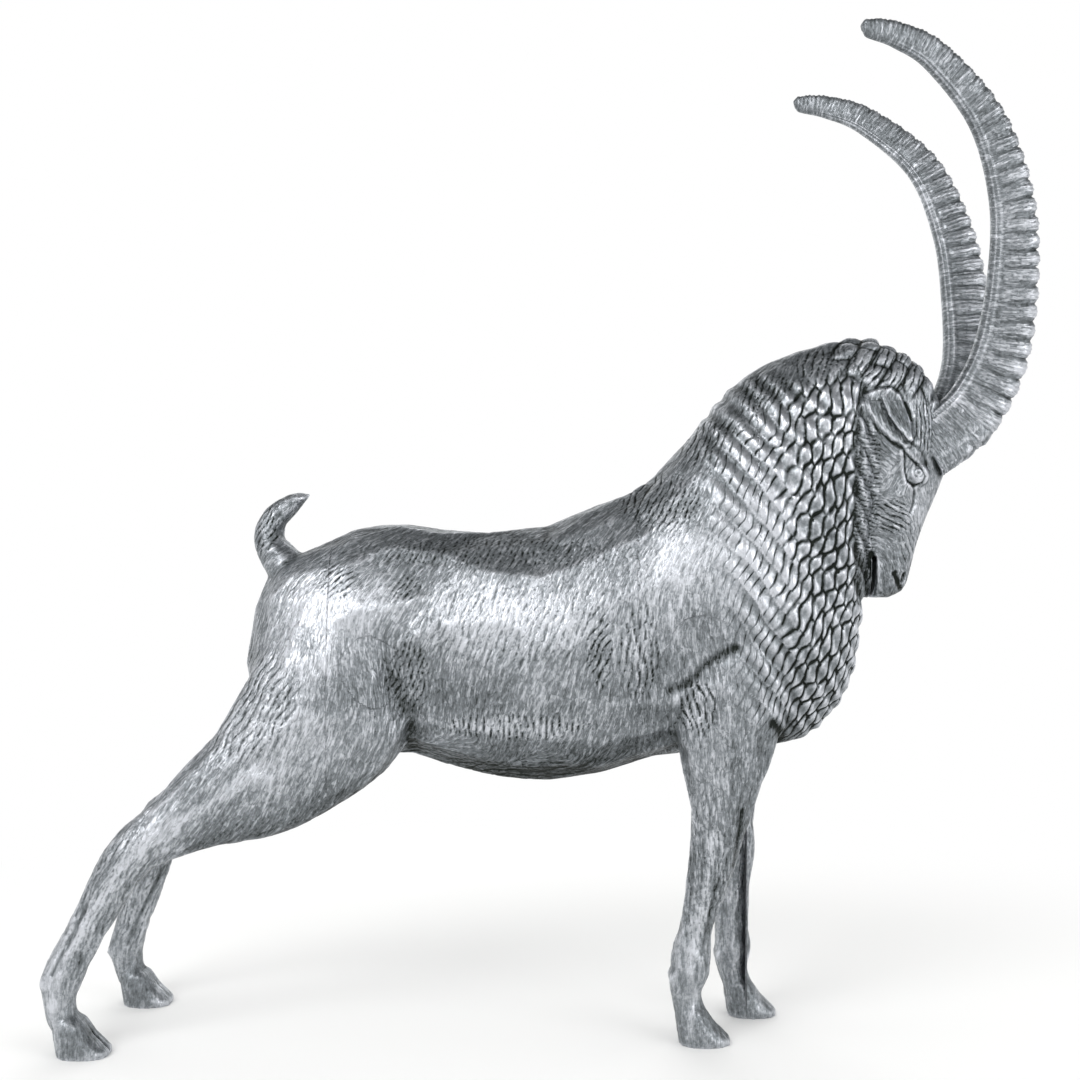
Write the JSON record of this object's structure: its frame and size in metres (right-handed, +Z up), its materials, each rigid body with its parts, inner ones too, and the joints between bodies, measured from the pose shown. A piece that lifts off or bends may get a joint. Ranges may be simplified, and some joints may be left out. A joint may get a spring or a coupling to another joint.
{
  "type": "ram figurine",
  "caption": "Cast-metal figurine of a standing mountain ram with long ridged swept-back horns, a curly mane and cloven hooves, for a shelf or table.",
  "frame": {"origin": "middle of the whole figure's box, at the level of the soles", "axes": "+X the way the ram faces, +Y towards the ram's left side, +Z up"},
  "size_m": [0.4304, 0.114, 0.4355],
  "materials": {
    "cast_metal": "aged satin silver with dark patina in the hollows"
  },
  "bodies": {
    "root": {"ram_casting": "cast_metal"}
  },
  "joints": []
}
